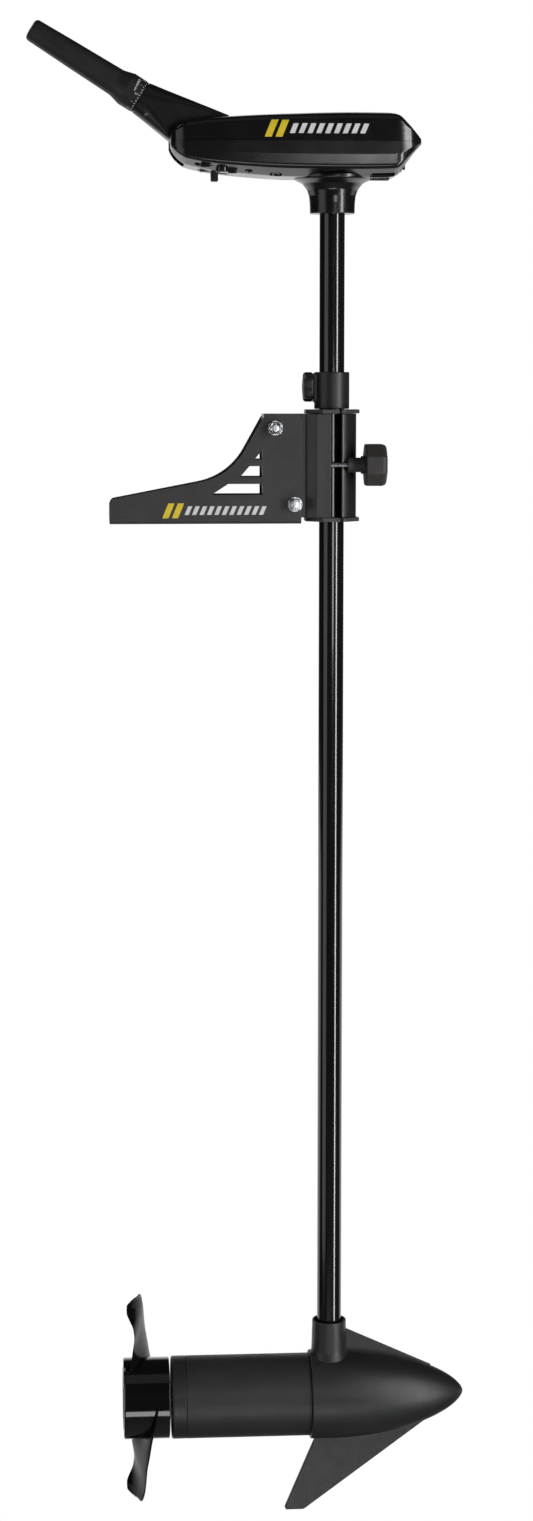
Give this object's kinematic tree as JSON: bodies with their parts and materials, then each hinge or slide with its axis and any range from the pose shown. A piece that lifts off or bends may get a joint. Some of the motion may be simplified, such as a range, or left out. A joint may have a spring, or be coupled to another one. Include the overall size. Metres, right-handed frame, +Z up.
{
  "type": "trolling motor",
  "caption": "Electric trolling motor with a tilting twist-grip tiller, control head, sliding shaft, deck bracket, and a finned motor pod with propeller.",
  "frame": {"origin": "centre of the bracket's underside, which rests on the boat's deck", "axes": "+Z up the shaft; +X from the bracket towards the shaft and the motor's nose; -X towards the tiller and the propeller"},
  "size_m": [0.4473, 0.1, 1.5444],
  "materials": {
    "bracket_steel": "black textured powder coat on steel sheet",
    "clamp_alloy": "satin black powder coat on an aluminium extrusion",
    "cast_alloy": "matte black powder coat on cast aluminium",
    "tube_steel": "matte black powder coat on steel tube",
    "shaft_composite": "gloss black composite tube",
    "head_plastic": "satin gloss black moulding",
    "tiller_plastic": "satin black moulding",
    "grip_plastic": "matte black moulding",
    "knob_plastic": "matte dark grey moulding",
    "collar_plastic": "satin black moulding",
    "propeller_plastic": "gloss black glass-filled nylon",
    "nylon": "dark acetal",
    "rubber": "matte black rubber",
    "red_insulation": "red wire insulation",
    "zinc_steel": "bright zinc plate",
    "iron_core": "stacked iron laminations",
    "ferrite": "ferrite and carbon",
    "brass": "sintered bronze and turned brass",
    "copper": "enamelled copper",
    "circuit_board": "green laminate"
  },
  "bodies": {
    "bracket": {"mount_bracket": "bracket_steel", "pivot_bolt": "zinc_steel", "pivot_washer": "zinc_steel", "pivot_nut": "zinc_steel", "stop_bolt": "zinc_steel", "stop_washer": "zinc_steel", "stop_nut": "zinc_steel", "stop_sleeve": "zinc_steel"},
    "clamp": {"clamp": "clamp_alloy", "pivot_bushing": "nylon", "tension_bolt": "zinc_steel", "upper_bushing": "nylon", "lower_bushing": "nylon"},
    "tension_knob": {"tension_knob": "knob_plastic"},
    "depth_collar": {"depth_collar": "collar_plastic", "collar_insert": "brass"},
    "collar_knob": {"collar_knob": "collar_plastic", "collar_screw": "zinc_steel"},
    "shaft": {"shaft_tube": "shaft_composite", "head_housing": "head_plastic", "head_cover": "head_plastic", "cover_screw_1": "zinc_steel", "cover_screw_2": "zinc_steel", "cover_screw_3": "zinc_steel", "cover_screw_4": "zinc_steel", "cover_screw_5": "zinc_steel", "cover_screw_6": "zinc_steel", "control_board": "circuit_board", "tiller_pin": "zinc_steel", "lead_gland": "rubber", "positive_lead": "red_insulation", "negative_lead": "rubber", "nosecone": "cast_alloy", "motor_tube": "tube_steel", "end_cap": "cast_alloy", "through_bolt_1": "zinc_steel", "through_bolt_2": "zinc_steel", "magnet_1": "ferrite", "magnet_2": "ferrite", "rear_bearing": "brass", "shaft_seal": "rubber", "front_bearing": "brass", "brush_plate": "nylon", "brush_1": "ferrite", "brush_2": "ferrite"},
    "tiller_arm": {"tiller_arm": "tiller_plastic", "speed_switch": "knob_plastic", "arm_screw": "zinc_steel"},
    "grip": {"tiller_grip": "grip_plastic", "throttle_shaft": "zinc_steel"},
    "tilt_lever": {"tilt_lever": "knob_plastic"},
    "armature": {"armature_shaft": "zinc_steel", "armature_core": "iron_core", "winding": "copper", "commutator": "copper", "propeller": "propeller_plastic", "drive_pin": "zinc_steel", "propeller_nut": "zinc_steel"}
  },
  "joints": [
    {"name": "bracket_tilt", "type": "hinge", "parent": "bracket", "child": "clamp", "pos_m": [0.0699, 0, 0.0961], "axis": [0, -1, 0], "range_deg": [0, 85]},
    {"name": "tension_knob_turn", "type": "hinge", "parent": "clamp", "child": "tension_knob", "pos_m": [0.129, -0.021, 0.059], "axis": [1, 0, 0], "range_deg": [0, 720]},
    {"name": "steering", "type": "hinge", "parent": "clamp", "child": "depth_collar", "pos_m": [0.129, 0, 0.115], "axis": [0, 0, 1], "continuous": true},
    {"name": "collar_knob_turn", "type": "hinge", "parent": "depth_collar", "child": "collar_knob", "pos_m": [0.109, 0, 0.137], "axis": [-1, 0, 0], "range_deg": [0, 720]},
    {"name": "depth_slide", "type": "slide", "parent": "depth_collar", "child": "shaft", "axis": [0, 0, 1], "range_m": [-0.15, 0.78]},
    {"name": "tiller_tilt", "type": "hinge", "parent": "shaft", "child": "tiller_arm", "pos_m": [0.001, 0, 0.373], "axis": [0, 1, 0], "range_deg": [-30, 12]},
    {"name": "speed_twist", "type": "hinge", "parent": "tiller_arm", "child": "grip", "pos_m": [-0.0624, 0, 0.4221], "axis": [-0.8536, 0, 0.521], "range_deg": [-150, 150]},
    {"name": "tilt_lever_press", "type": "hinge", "parent": "shaft", "child": "tilt_lever", "pos_m": [0.021, 0, 0.3515], "axis": [0, 1, 0], "range_deg": [0, 8], "stiffness_Nm_per_rad": 0.2, "springref_deg": -2.86},
    {"name": "propeller_spin", "type": "hinge", "parent": "shaft", "child": "armature", "pos_m": [0.129, 0, -0.9211], "axis": [1, 0, 0], "continuous": true}
  ]
}
